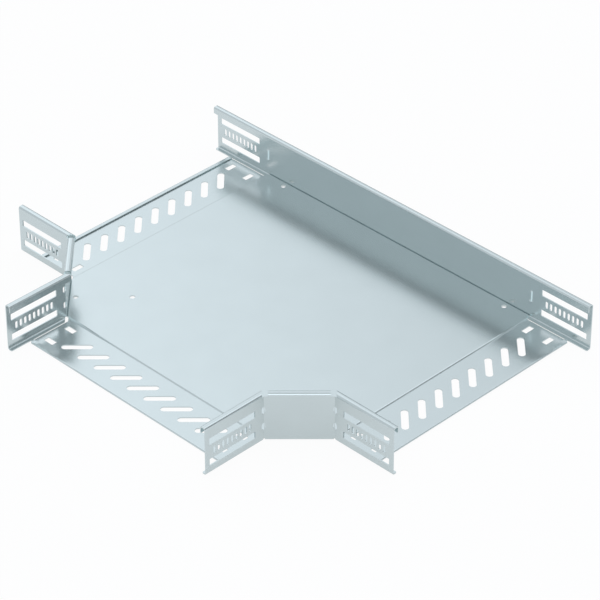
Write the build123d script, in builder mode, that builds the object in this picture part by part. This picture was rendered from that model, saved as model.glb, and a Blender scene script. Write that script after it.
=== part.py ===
from build123d import *
import os

# Horizontal tee for a perforated cable tray, in bent galvanised sheet, in millimetres.
# A floor plate lies on the bottom flanges of three side pieces: one straight rail along
# the back of the run, and two corner pieces that turn from the run into the branch.
# The run lies along X, the branch leaves towards -Y, and the tee stands on z = 0.

# Sheet and overall size
sheet = 1.25
outer_width = 296.0
wall_height = 57.0
corner_run = 49.1
wing = 79.4

# Floor plate levels and ends
joggle = 1.75
joggle_inset = 1.8
joggle_run = 1.0
joggle_radius = 0.5
end_setback = 23.3
end_clearance = 7.0
hem_width = 5.0
hem_gap = 0.3
hem_flat = 0.1
hem_corner = 2.4
floor_gap = 0.1

# Side wall section
bend_radius = 1.25
shoulder_radius = 3.0
lip_reach = 7.2
lip_drop = 8.0
lip_radius = 2.5
end_flange = 5.6
seat_flange = 14.0
seat_clearance = 1.3
flange_corner = 1.2
fold_radius = 1.0

# Gaps beside a fold: along the middle leaf for the lips and its own flange, across it for a wing
wing_lip_gap = 2.1
middle_lip_gap = 3.9
wing_flange_gap = 0.7
middle_flange_gap = 0.5

# Floor perforation
slot_setback = 29.2
slot_pitch = 25.0
slot_margin = 35.0
slot_length = 33.1
slot_width = 7.8
slot_turn = -45.0
window_setback = 30.7
window_spread = 28.0
window_inset = 13.3
window_length = 13.3
window_width = 7.0
window_corner = 0.8
locating_hole = 6.0
locating_inset = 8.2
locating_setback = 30.7
drain_hole = 6.0
drain_inset = 23.6

# Wall perforation
joint_centre = 36.25
joint_slot_length = 62.0
joint_slot_height = 8.0
joint_slot_corner = 0.8
joint_slot_low = 13.25
joint_slot_rise = 25.0
comb_pitch = 6.0
comb_count = 9
comb_width = 3.4
comb_height = 8.8
fold_slot_width = 4.4
fold_slot_height = 8.0
fold_slot_low = 17.7
fold_slot_rise = 19.6
fold_slot_shift = 1.0

# Arrow mark pressed into the rail
arrow_tip = 18.2
arrow_length = 16.4
arrow_width = 3.0
arrow_head = 6.4
arrow_point = 4.0
arrow_depth = 1.2
arrow_slope = 45.0

# How near an edge's middle has to lie to a place to be picked there
near = 0.01

# Worked-out places
half_width = outer_width / 2
corner_start = half_width + corner_run
wall_reach = corner_start + wing
joggle_start = corner_start - joggle_inset
seat_reach = joggle_start - seat_clearance
end_reach = wall_reach - end_setback
end_width = outer_width - 2 * end_clearance
tee_y = (wall_reach - half_width) / 2
wall_bottom = joggle - sheet
wall_top = wall_bottom + wall_height
web_bottom = wall_bottom + sheet + bend_radius
web_top = wall_top - shoulder_radius
lip_bottom = wall_top - lip_drop
wall_middle = (wall_bottom + wall_top) / 2
slot_row = end_reach - slot_setback
slot_count = 1 + int((end_width - 2 * slot_margin) // slot_pitch)
window_row = end_reach - window_setback
window_offset = end_width / 2 - window_inset
locating_place = joggle_start - locating_setback
drain_place = half_width - drain_inset
floor_inset = sheet + bend_radius + floor_gap
hem_height = 2 * sheet + hem_gap
hem_radius = (hem_height - hem_flat) / 2
diagonal = (corner_start - half_width) * 2**0.5
corner_middle = (corner_start + half_width) / 2
back_line = Vector(wall_reach, half_width)
across = Vector(1, 1).normalized()
branch_end = Vector(half_width, -wall_reach)
branch_fold = Vector(half_width, -corner_start)
run_fold = Vector(corner_start, -half_width)
run_end = Vector(wall_reach, -half_width)


def level(z):
    """Horizontal plane at height z, centred where the run and the branch cross."""
    return Plane(origin=(0, tee_y, z))


def end_level(angle):
    """Horizontal plane at the foot of the tee, turned so that x points out of one end."""
    return level(0).rotated((0, 0, angle))


def end_section(angle):
    """Upright plane along one end's centre line: x points out of the end, y is up."""
    outward = end_level(angle).x_dir
    return Plane(origin=(0, tee_y, 0), x_dir=outward, z_dir=outward.cross(Vector(0, 0, 1)))


def corner_level(z):
    """Horizontal plane at height z over the right corner's middle leaf: y points inward."""
    return Plane(origin=(corner_middle, tee_y - corner_middle, z), x_dir=across)


def wall_plane(start, along):
    """Section plane across a wall: x points into the channel, y up, z along the wall."""
    inward = Vector(-along.Y, along.X)
    return Plane(origin=start + Vector(0, tee_y), x_dir=inward, z_dir=along)


def face_plane(start, along):
    """Plane on a wall's outer face: x runs along the wall, y up, z out of the channel."""
    outward = Vector(along.Y, -along.X)
    return Plane(origin=start + Vector(0, tee_y), x_dir=along, z_dir=outward)


def flange_section(flange):
    """Closed outline of a side's bottom flange and the bend up to its web."""
    with BuildSketch() as section:
        with BuildLine():
            with BuildLine(mode=Mode.PRIVATE) as path:
                foot = Line((flange, wall_bottom), (bend_radius + sheet, wall_bottom))
                JernArc(foot @ 1, foot % 1, bend_radius + sheet, -90)
            offset(path.line, amount=sheet, side=Side.RIGHT)
        make_face()
    return section.sketch


def lip_section():
    """Closed outline of a side's top: shoulder, flat, and the lip that hangs down inside."""
    with BuildSketch() as section:
        with BuildLine():
            with BuildLine(mode=Mode.PRIVATE) as path:
                shoulder = JernArc((0, web_top), (0, 1), shoulder_radius, -90)
                flat = Line(shoulder @ 1, (lip_reach - lip_radius, wall_top))
                bend = JernArc(flat @ 1, flat % 1, lip_radius, -90)
                Line(bend @ 1, (lip_reach, lip_bottom))
            offset(path.line, amount=sheet, side=Side.RIGHT)
        make_face()
    return section.sketch


def joint_perforation():
    """Openings near a wall's end: two long slots with a comb of short ones between."""
    middle = wall_bottom + joint_slot_low + joint_slot_rise / 2
    with BuildSketch() as openings:
        with Locations((joint_centre, middle)):
            with GridLocations(0, joint_slot_rise, 1, 2):
                RectangleRounded(joint_slot_length, joint_slot_height, joint_slot_corner)
            with GridLocations(comb_pitch, 0, comb_count, 1):
                SlotOverall(comb_height, comb_width, rotation=90)
    return openings.sketch


def fold_perforation():
    """Two short upright slots on a fold line, which make the sheet fold there."""
    middle = wall_bottom + fold_slot_low + fold_slot_rise / 2
    with BuildSketch() as openings:
        with Locations((0, middle)):
            with GridLocations(0, fold_slot_rise, 1, 2):
                SlotOverall(fold_slot_height, fold_slot_width, rotation=90)
    return openings.sketch


def arrow_mark():
    """Arrow that points down at the line where the next tray's end stops."""
    with BuildSketch() as mark:
        with BuildLine():
            Polyline(
                (0, arrow_tip),
                (arrow_head / 2, arrow_tip + arrow_point),
                (arrow_width / 2, arrow_tip + arrow_point),
                (arrow_width / 2, arrow_tip + arrow_length),
                (-arrow_width / 2, arrow_tip + arrow_length),
                (-arrow_width / 2, arrow_tip + arrow_point),
                (-arrow_head / 2, arrow_tip + arrow_point),
                close=True,
            )
        make_face()
    return mark.sketch


# Floor plate: the middle lies on the flanges, and each end steps down and ends in a hem
inner_edge = half_width - floor_inset
end_edge = end_width / 2
corner_cut = half_width + corner_start - floor_inset * 2**0.5
with BuildPart() as floor_plate:
    with BuildSketch(level(joggle)):
        with Locations((0, (inner_edge - joggle_start) / 2)):
            Rectangle(2 * joggle_start, inner_edge + joggle_start)
    extrude(amount=sheet)
    for angle in (0, 180, 270):
        with BuildSketch(end_section(angle)):
            with BuildLine():
                path = FilletPolyline(
                    (joggle_start - joggle_run, joggle),
                    (joggle_start, joggle),
                    (joggle_start + joggle_run, 0),
                    (end_reach, 0),
                    (end_reach, hem_height),
                    (end_reach - hem_width, hem_height),
                    radius=[
                        joggle_radius,
                        joggle_radius + sheet,
                        hem_radius,
                        hem_radius,
                    ],
                )
                offset(path, amount=sheet, side=Side.LEFT)
            make_face()
        extrude(amount=half_width, both=True)
    with BuildSketch(level(0)):
        with BuildLine():
            Polyline(
                (0, inner_edge),
                (seat_reach, inner_edge),
                (seat_reach, end_edge),
                (end_reach, end_edge),
                (end_reach, -end_edge),
                (corner_cut - end_edge, -end_edge),
                (end_edge, end_edge - corner_cut),
                (end_edge, -end_reach),
                (0, -end_reach),
            )
            mirror(about=Plane.YZ)
        make_face()
    extrude(amount=joggle + sheet, mode=Mode.INTERSECT)
    for angle in (0, 180, 270):
        with BuildSketch(end_level(angle)):
            with Locations((slot_row, 0)):
                with GridLocations(0, slot_pitch, 1, slot_count):
                    SlotOverall(slot_length, slot_width, rotation=slot_turn)
            with Locations((window_row, 0)):
                with GridLocations(window_spread, 2 * window_offset, 2, 2):
                    RectangleRounded(window_width, window_length, window_corner)
            with Locations((end_reach, 0)):
                with GridLocations(0, end_width, 1, 2):
                    Rectangle(hem_corner * 2**0.5, hem_corner * 2**0.5, rotation=45)
        extrude(amount=joggle + sheet, mode=Mode.SUBTRACT)
    with BuildSketch(level(0)):
        locating_middle = corner_middle - locating_inset / 2**0.5
        with Locations(
            (-locating_place, half_width - locating_inset),
            (locating_place, half_width - locating_inset),
            (-locating_middle, -locating_middle),
            (locating_middle, -locating_middle),
        ):
            Circle(locating_hole / 2)
        with Locations((-drain_place, -drain_place), (drain_place, -drain_place)):
            Circle(drain_hole / 2)
    extrude(amount=joggle + sheet, mode=Mode.SUBTRACT)
floor_plate.part.label = "floor_plate"

# Back rail: one long folded side, with a narrow flange past the floor plate's middle
with BuildPart() as back_rail:
    with BuildSketch(wall_plane(back_line, Vector(-1, 0))):
        add(flange_section(seat_flange))
        add(lip_section())
        with Locations((sheet / 2, (web_bottom + web_top) / 2)):
            Rectangle(sheet, web_top - web_bottom)
    extrude(amount=2 * wall_reach)
    with BuildSketch(level(0)):
        trim_length = wall_reach - seat_reach
        trim_width = seat_flange - end_flange
        with Locations((0, half_width - (seat_flange + end_flange) / 2)):
            with GridLocations(wall_reach + seat_reach, 0, 2, 1):
                Rectangle(trim_length, trim_width)
    extrude(amount=web_bottom, mode=Mode.SUBTRACT)
    flange_ends = back_rail.edges().filter_by(Axis.Z).filter_by(
        lambda edge: abs(edge.center().Z - wall_bottom - sheet / 2) < near
        and abs(edge.center().X) > wall_reach - near
    )
    fillet(flange_ends, flange_corner)
    for side in (1, -1):
        with BuildSketch(face_plane(Vector(side * wall_reach, half_width), Vector(-1, 0))):
            with Locations(((side - 1) * joint_centre, 0)):
                add(joint_perforation())
        extrude(amount=-sheet - bend_radius, mode=Mode.SUBTRACT)
    for depth, mode in ((0, Mode.SUBTRACT), (sheet, Mode.ADD)):
        with BuildSketch(face_plane(Vector(0, half_width - depth), Vector(-1, 0))):
            with GridLocations(2 * joggle_start, 0, 2, 1):
                add(arrow_mark())
        extrude(amount=-arrow_depth, taper=arrow_slope, mode=mode)
    with BuildSketch(level(0)):
        with Locations((0, half_width - locating_inset)):
            with GridLocations(2 * locating_place, 0, 2, 1):
                Circle(locating_hole / 2)
    extrude(amount=web_bottom, mode=Mode.SUBTRACT)
back_rail.part.label = "back_rail"

# Right corner side: one sheet folded twice, from the branch end round to the run end
with BuildPart() as right_corner_side:
    for start, along in ((branch_end, Vector(0, 1)), (run_fold - Vector(lip_reach, 0), Vector(1, 0))):
        with BuildSketch(wall_plane(start, along)):
            add(flange_section(end_flange))
            add(lip_section())
        extrude(amount=wing + lip_reach)
    with BuildSketch(corner_level(wall_middle)):
        Rectangle(diagonal + 2 * wing_lip_gap, 4 * lip_reach)
    extrude(amount=wall_height, mode=Mode.SUBTRACT)
    with BuildSketch(corner_level(0)):
        with Locations((0, seat_flange - wing_flange_gap)):
            Rectangle(diagonal + 4 * seat_flange, 2 * seat_flange)
    extrude(amount=wall_middle, mode=Mode.SUBTRACT)
    for section, gap in ((lip_section(), middle_lip_gap), (flange_section(seat_flange), middle_flange_gap)):
        with BuildSketch(wall_plane(branch_fold + across * gap, across)):
            add(section)
        extrude(amount=diagonal - 2 * gap)
    with BuildSketch(level(web_bottom)):
        with BuildLine():
            with BuildLine(mode=Mode.PRIVATE) as path:
                FilletPolyline(branch_end, branch_fold, run_fold, run_end, radius=fold_radius)
            offset(path.line, amount=sheet, side=Side.LEFT)
        make_face()
    extrude(amount=web_top - web_bottom)
    flange_ends = right_corner_side.edges().filter_by(Axis.Z).filter_by(
        lambda edge: abs(edge.center().Z - wall_bottom - sheet / 2) < near
        and max(edge.center().X, tee_y - edge.center().Y) > wall_reach - near
    )
    fillet(flange_ends, flange_corner)
    for start, along in ((branch_end, Vector(0, 1)), (run_end, Vector(-1, 0))):
        with BuildSketch(face_plane(start, along)):
            add(joint_perforation())
        extrude(amount=2 * sheet, both=True, mode=Mode.SUBTRACT)
    for fold, along, shift in (
        (branch_fold, Vector(0, 1), -fold_slot_shift),
        (branch_fold, across, -fold_slot_shift),
        (run_fold, across, fold_slot_shift),
        (run_fold, Vector(1, 0), fold_slot_shift),
    ):
        with BuildSketch(face_plane(fold, along)):
            with Locations((shift, 0)):
                add(fold_perforation())
        extrude(amount=-sheet - fold_radius, mode=Mode.SUBTRACT)
    with BuildSketch(level(0)):
        with Locations((locating_middle, -locating_middle)):
            Circle(locating_hole / 2)
    extrude(amount=web_bottom, mode=Mode.SUBTRACT)
right_corner_side.part.label = "right_corner_side"

# Left corner side: the same piece folded the other way
with BuildPart() as left_corner_side:
    add(mirror(right_corner_side.part, about=Plane.YZ))
left_corner_side.part.label = "left_corner_side"

os.makedirs("parts", exist_ok=True)
for piece in (floor_plate, back_rail, right_corner_side, left_corner_side):
    export_step(piece.part, f"parts/{piece.part.label}.step")
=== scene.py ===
from math import cos, radians, sin

import bpy
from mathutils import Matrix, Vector

# Camera, solved from the straight edges and slot rows of the photograph
view_azimuth = radians(44.95)
view_elevation = radians(35.02)
view_distance = 3.1638
view_reach = 100.0
view_target = Vector((0.00303, 0.06243, 0.00125))
sensor_width = 36.0
lens_length = 179.925

# Room: its plain level, where 1 is white, and its tint
room_level = 0.77
room_tint = (0.96, 1.0, 1.05, 1)

# Soft patches of the room: direction, level, and the cosines where the edge starts and ends
patches = (
    ((-0.79, 0.21, 0.57), 1.35, 0.82, 1.00),
    ((0.05, 0.60, 0.80), 1.28, 0.91, 0.98),
    ((0.71, 0.58, 0.40), 0.20, 0.96, 0.99),
    ((-0.70, 0.68, 0.12), 0.40, 0.93, 0.98),
    ((0.56, -0.56, 0.61), 1.80, 0.94, 0.985),
)

# Ground: its colour in the room's light, and the share of plain white that a ray sees instead
ground_size = 12.0
ground_colour = (0.88, 0.9, 0.93, 1)
ground_white = {"Is Camera Ray": 0.94, "Is Glossy Ray": 0.57}

# Zinc-coated sheet
sheets = ("floor_plate", "back_rail", "left_corner_side", "right_corner_side")
zinc_colour = (0.620, 0.690, 0.695)
zinc_roughness = 0.24

# Clouds in the zinc's tone
cloud_scale = 22.0
cloud_detail = 3.0
tone_spread = 0.03

# Streaks in the zinc's gloss and relief: stretch is how much finer they are across than along
streak_scale = 30.0
streak_detail = 4.0
streak_stretch = 30.0
gloss_spread = 0.03
relief_strength = 0.05
relief_height = 0.0001


def node(tree, kind, place, **settings):
    """One node at a place in the tree, with any of its settings given by name."""
    made = tree.nodes.new(kind)
    made.location = place
    for name, value in settings.items():
        setattr(made, name, value)
    return made


def empty_tree(owner):
    """Node tree of a material or a world, with no node in it yet."""
    owner.use_nodes = True
    owner.node_tree.nodes.clear()
    return owner.node_tree


def noise(tree, place, vector, scale, detail):
    """Noise over the given coordinates, from 0 to 1."""
    made = node(tree, "ShaderNodeTexNoise", place)
    made.inputs["Scale"].default_value = scale
    made.inputs["Detail"].default_value = detail
    tree.links.new(vector, made.inputs["Vector"])
    return made.outputs["Fac"]


def spread_about(tree, place, value, middle, spread):
    """A value from 0 to 1, made to run from a little under a middle to a little over it."""
    made = node(tree, "ShaderNodeMapRange", place)
    made.inputs["To Min"].default_value = middle - spread
    made.inputs["To Max"].default_value = middle + spread
    tree.links.new(value, made.inputs["Value"])
    return made.outputs["Result"]


def zinc_sheet(name, seed):
    """Bright zinc-coated steel: faint clouds, and fine streaks that run along X."""
    material = bpy.data.materials.new(name)
    tree = empty_tree(material)
    output = node(tree, "ShaderNodeOutputMaterial", (900, 0))
    shader = node(tree, "ShaderNodeBsdfPrincipled", (600, 0))
    shader.inputs["Metallic"].default_value = 1.0
    tree.links.new(shader.outputs["BSDF"], output.inputs["Surface"])

    place = node(tree, "ShaderNodeTexCoord", (-1100, 0))
    moved = node(tree, "ShaderNodeMapping", (-900, -200))
    moved.inputs["Location"].default_value = (seed, seed, seed)
    stretched = node(tree, "ShaderNodeMapping", (-700, -300))
    stretched.inputs["Scale"].default_value = (1.0, streak_stretch, streak_stretch)
    tree.links.new(place.outputs["Object"], moved.inputs["Vector"])
    tree.links.new(moved.outputs["Vector"], stretched.inputs["Vector"])
    clouds = noise(tree, (-500, 200), moved.outputs["Vector"], cloud_scale, cloud_detail)
    streaks = noise(tree, (-500, -300), stretched.outputs["Vector"], streak_scale, streak_detail)

    colour = node(tree, "ShaderNodeVectorMath", (100, 200), operation="SCALE")
    colour.inputs[0].default_value = zinc_colour
    tree.links.new(spread_about(tree, (-250, 200), clouds, 1.0, tone_spread), colour.inputs["Scale"])
    tree.links.new(colour.outputs["Vector"], shader.inputs["Base Color"])

    gloss = spread_about(tree, (-250, -100), streaks, zinc_roughness, gloss_spread)
    tree.links.new(gloss, shader.inputs["Roughness"])

    relief = node(tree, "ShaderNodeBump", (300, -400))
    relief.inputs["Strength"].default_value = relief_strength
    relief.inputs["Distance"].default_value = relief_height
    tree.links.new(streaks, relief.inputs["Height"])
    tree.links.new(relief.outputs["Normal"], shader.inputs["Normal"])
    return material


def ground():
    """Pale ground: white to the camera, less bright to the metal, and with the object's shadow."""
    bpy.ops.mesh.primitive_plane_add(size=ground_size)
    plane = bpy.context.object
    plane.name = "ground"
    material = bpy.data.materials.new("ground")
    tree = empty_tree(material)
    output = node(tree, "ShaderNodeOutputMaterial", (600, 0))
    diffuse = node(tree, "ShaderNodeBsdfDiffuse", (0, -200))
    diffuse.inputs["Color"].default_value = ground_colour
    white = node(tree, "ShaderNodeEmission", (0, 100))
    path = node(tree, "ShaderNodeLightPath", (-600, 300))
    share = node(tree, "ShaderNodeMath", (0, 300), operation="MAXIMUM")
    for row, (ray, level) in enumerate(ground_white.items()):
        seen = node(tree, "ShaderNodeMath", (-300, 400 - 200 * row), operation="MULTIPLY")
        seen.inputs[1].default_value = level
        tree.links.new(path.outputs[ray], seen.inputs[0])
        tree.links.new(seen.outputs["Value"], share.inputs[row])
    mix = node(tree, "ShaderNodeMixShader", (300, 0))
    tree.links.new(share.outputs["Value"], mix.inputs["Fac"])
    tree.links.new(diffuse.outputs["BSDF"], mix.inputs[1])
    tree.links.new(white.outputs["Emission"], mix.inputs[2])
    tree.links.new(mix.outputs["Shader"], output.inputs["Surface"])
    plane.data.materials.append(material)


def room():
    """Pale room with soft brighter and darker patches, which the metal mirrors."""
    world = bpy.data.worlds.new("room")
    bpy.context.scene.world = world
    tree = empty_tree(world)
    output = node(tree, "ShaderNodeOutputWorld", (1400, 0))
    background = node(tree, "ShaderNodeBackground", (1200, 0))
    background.inputs["Color"].default_value = room_tint
    place = node(tree, "ShaderNodeTexCoord", (-600, 0))
    plain = node(tree, "ShaderNodeValue", (0, 300))
    plain.outputs[0].default_value = room_level
    total = plain.outputs[0]
    for row, (direction, level, edge_start, edge_end) in enumerate(patches):
        toward = node(tree, "ShaderNodeVectorMath", (-400, -200 * row), operation="DOT_PRODUCT")
        toward.inputs[1].default_value = Vector(direction).normalized()
        patch = node(tree, "ShaderNodeMapRange", (-200, -200 * row), interpolation_type="SMOOTHSTEP")
        patch.inputs["From Min"].default_value = edge_start
        patch.inputs["From Max"].default_value = edge_end
        patch.inputs["To Min"].default_value = 0.0
        patch.inputs["To Max"].default_value = level - room_level
        added = node(tree, "ShaderNodeMath", (200 + 200 * row, 0), operation="ADD")
        tree.links.new(place.outputs["Generated"], toward.inputs[0])
        tree.links.new(toward.outputs["Value"], patch.inputs["Value"])
        tree.links.new(total, added.inputs[0])
        tree.links.new(patch.outputs["Result"], added.inputs[1])
        total = added.outputs[0]
    tree.links.new(total, background.inputs["Strength"])
    tree.links.new(background.outputs["Background"], output.inputs["Surface"])


def camera():
    """Camera at the photograph's viewing angle."""
    back = Vector((
        sin(view_azimuth) * cos(view_elevation),
        -cos(view_azimuth) * cos(view_elevation),
        sin(view_elevation),
    ))
    data = bpy.data.cameras.new("camera")
    data.sensor_width = sensor_width
    data.lens = lens_length
    data.clip_end = view_reach
    made = bpy.data.objects.new("camera", data)
    made.location = view_target + back * view_distance
    made.rotation_euler = back.to_track_quat("Z", "Y").to_euler()
    bpy.context.collection.objects.link(made)
    bpy.context.scene.camera = made


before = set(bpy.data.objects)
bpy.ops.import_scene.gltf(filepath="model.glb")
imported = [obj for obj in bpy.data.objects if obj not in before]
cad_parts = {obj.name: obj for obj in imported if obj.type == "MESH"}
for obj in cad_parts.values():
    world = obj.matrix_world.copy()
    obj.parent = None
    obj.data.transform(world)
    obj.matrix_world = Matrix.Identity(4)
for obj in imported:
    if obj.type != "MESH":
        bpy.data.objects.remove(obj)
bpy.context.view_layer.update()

for seed, name in enumerate(sheets):
    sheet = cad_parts[name]
    sheet.data.materials.clear()
    sheet.data.materials.append(zinc_sheet(f"zinc_{name}", seed))

ground()
room()
camera()
bpy.context.scene.view_settings.view_transform = "Standard"
